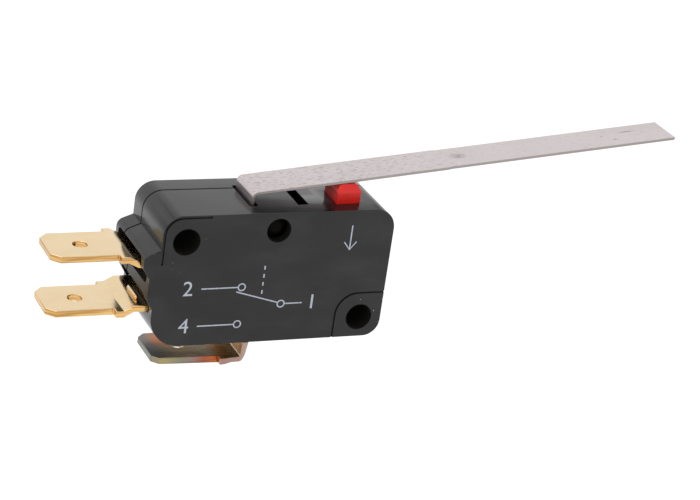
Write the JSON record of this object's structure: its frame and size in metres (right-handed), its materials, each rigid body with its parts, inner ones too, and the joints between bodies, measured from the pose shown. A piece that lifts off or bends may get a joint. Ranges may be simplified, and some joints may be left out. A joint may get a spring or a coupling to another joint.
{
  "type": "micro switch",
  "caption": "Miniature snap-action switch in a flat moulded case, with a long hinged lever over a faceted plunger, flat tab terminals and through holes for screws.",
  "frame": {"origin": "axis of the lower mounting hole, midway between the printed face and the rear face", "axes": "+X towards the lever's tip, +Y from the printed face to the rear cover, +Z the way the plunger stands out"},
  "size_m": [0.0763, 0.0104, 0.0261],
  "materials": {
    "case_plastic": "moulded black phenolic, satin",
    "lever_steel": "pale stainless strip, fine matte grain",
    "plunger_red": "red moulding, smooth",
    "tab_brass": "pale brass strip, satin",
    "com_brass": "brass strip, satin",
    "contact_silver": "silver alloy rivet, smooth",
    "blade_bronze": "copper alloy spring strip",
    "spring_steel": "drawn spring wire"
  },
  "bodies": {
    "housing": {"front_case": "case_plastic", "rear_cover": "case_plastic", "nc_terminal": "tab_brass", "no_terminal": "tab_brass", "com_terminal": "com_brass", "nc_contact": "contact_silver", "no_contact": "contact_silver"},
    "lever": {"hinge_lever": "lever_steel"},
    "plunger": {"plunger": "plunger_red"},
    "drive": {"drive_blade": "blade_bronze"},
    "arm": {"contact_arm": "blade_bronze", "moving_contact": "contact_silver"},
    "spring": {"snap_spring": "spring_steel"}
  },
  "joints": [
    {"name": "lever_hinge", "type": "hinge", "parent": "housing", "child": "lever", "pos_m": [-0.01385, 0, 0.0121], "axis": [0, 1, 0], "range_deg": [0, 9.8], "stiffness_Nm_per_rad": 0.05, "springref_deg": -8.59},
    {"name": "plunger_slide", "type": "slide", "parent": "housing", "child": "plunger", "axis": [0, 0, -1], "range_m": [0, 0.00195]},
    {"name": "drive_hinge", "type": "hinge", "parent": "housing", "child": "drive", "pos_m": [-0.01235, 0, 0.0035], "axis": [0, 1, 0], "range_deg": [0, 10.5]},
    {"name": "arm_hinge", "type": "hinge", "parent": "housing", "child": "arm", "pos_m": [-0.00815, 0, 0.0053], "axis": [0, 1, 0], "range_deg": [-6.2, 0]},
    {"name": "spring_hinge", "type": "hinge", "parent": "arm", "child": "spring", "pos_m": [-0.01528, 0, 0.00573], "axis": [0, 1, 0], "range_deg": [0, 10.05]}
  ],
  "couplings": [
    {"joint": "plunger_slide", "follows": "lever_hinge", "m_per_rad": 0.0113},
    {"joint": "drive_hinge", "follows": "lever_hinge", "ratio": 1.07},
    {"joint": "arm_hinge", "follows": "lever_hinge", "ratio": -0.63},
    {"joint": "spring_hinge", "follows": "lever_hinge", "ratio": 1.0215}
  ]
}
